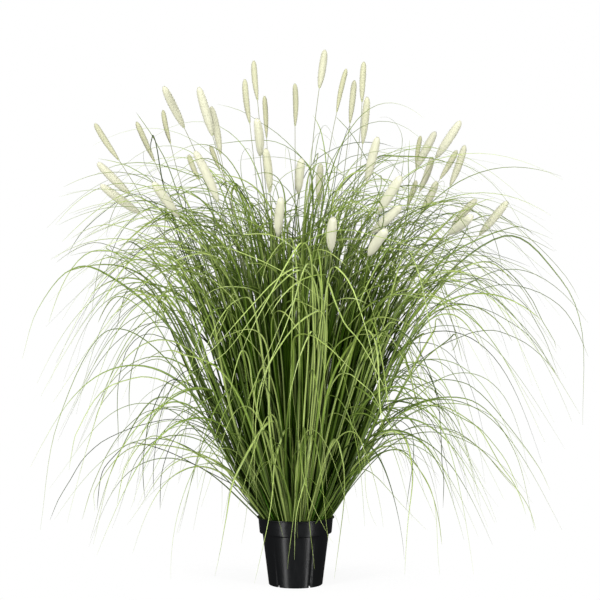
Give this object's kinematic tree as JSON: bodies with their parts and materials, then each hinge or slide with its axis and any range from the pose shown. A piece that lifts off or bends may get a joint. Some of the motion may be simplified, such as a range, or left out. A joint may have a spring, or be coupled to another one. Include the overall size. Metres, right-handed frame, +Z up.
{
  "type": "potted fountain grass",
  "caption": "Artificial fountain grass with long arching green blades and slim cream plumes, standing in a plain black nursery pot.",
  "frame": {"origin": "centre of the pot's flat underside", "axes": "+Z up, -Y towards the front that the picture shows, +X to the right of it along the widest spread"},
  "size_m": [1.243, 1.1762, 1.1988],
  "materials": {
    "pot_plastic": "satin black",
    "filling": "rough, matt",
    "blade_plastic": "soft sheen",
    "plume_plastic": "matt, bristly"
  },
  "bodies": {
    "root": {"pot": "pot_plastic", "filling": "filling", "tuft_01": "blade_plastic", "tuft_02": "blade_plastic", "tuft_03": "blade_plastic", "tuft_04": "blade_plastic", "tuft_05": "blade_plastic", "tuft_06": "blade_plastic", "tuft_07": "blade_plastic", "tuft_08": "blade_plastic", "tuft_09": "blade_plastic", "tuft_10": "blade_plastic", "tuft_11": "blade_plastic", "tuft_12": "blade_plastic", "plume_01": "plume_plastic", "plume_02": "plume_plastic", "plume_03": "plume_plastic", "plume_04": "plume_plastic", "plume_05": "plume_plastic", "plume_06": "plume_plastic", "plume_07": "plume_plastic", "plume_08": "plume_plastic", "plume_09": "plume_plastic", "plume_10": "plume_plastic", "plume_11": "plume_plastic", "plume_12": "plume_plastic", "plume_13": "plume_plastic", "plume_14": "plume_plastic", "plume_15": "plume_plastic", "plume_16": "plume_plastic", "plume_17": "plume_plastic", "plume_18": "plume_plastic", "plume_19": "plume_plastic", "plume_20": "plume_plastic", "plume_21": "plume_plastic", "plume_22": "plume_plastic", "plume_23": "plume_plastic", "plume_24": "plume_plastic", "plume_25": "plume_plastic", "plume_26": "plume_plastic", "plume_27": "plume_plastic", "plume_28": "plume_plastic", "plume_29": "plume_plastic", "plume_30": "plume_plastic", "plume_31": "plume_plastic", "plume_32": "plume_plastic", "plume_33": "plume_plastic", "plume_34": "plume_plastic", "plume_35": "plume_plastic", "plume_36": "plume_plastic", "plume_37": "plume_plastic", "plume_38": "plume_plastic", "plume_39": "plume_plastic", "plume_40": "plume_plastic", "plume_41": "plume_plastic", "plume_42": "plume_plastic"}
  },
  "joints": []
}
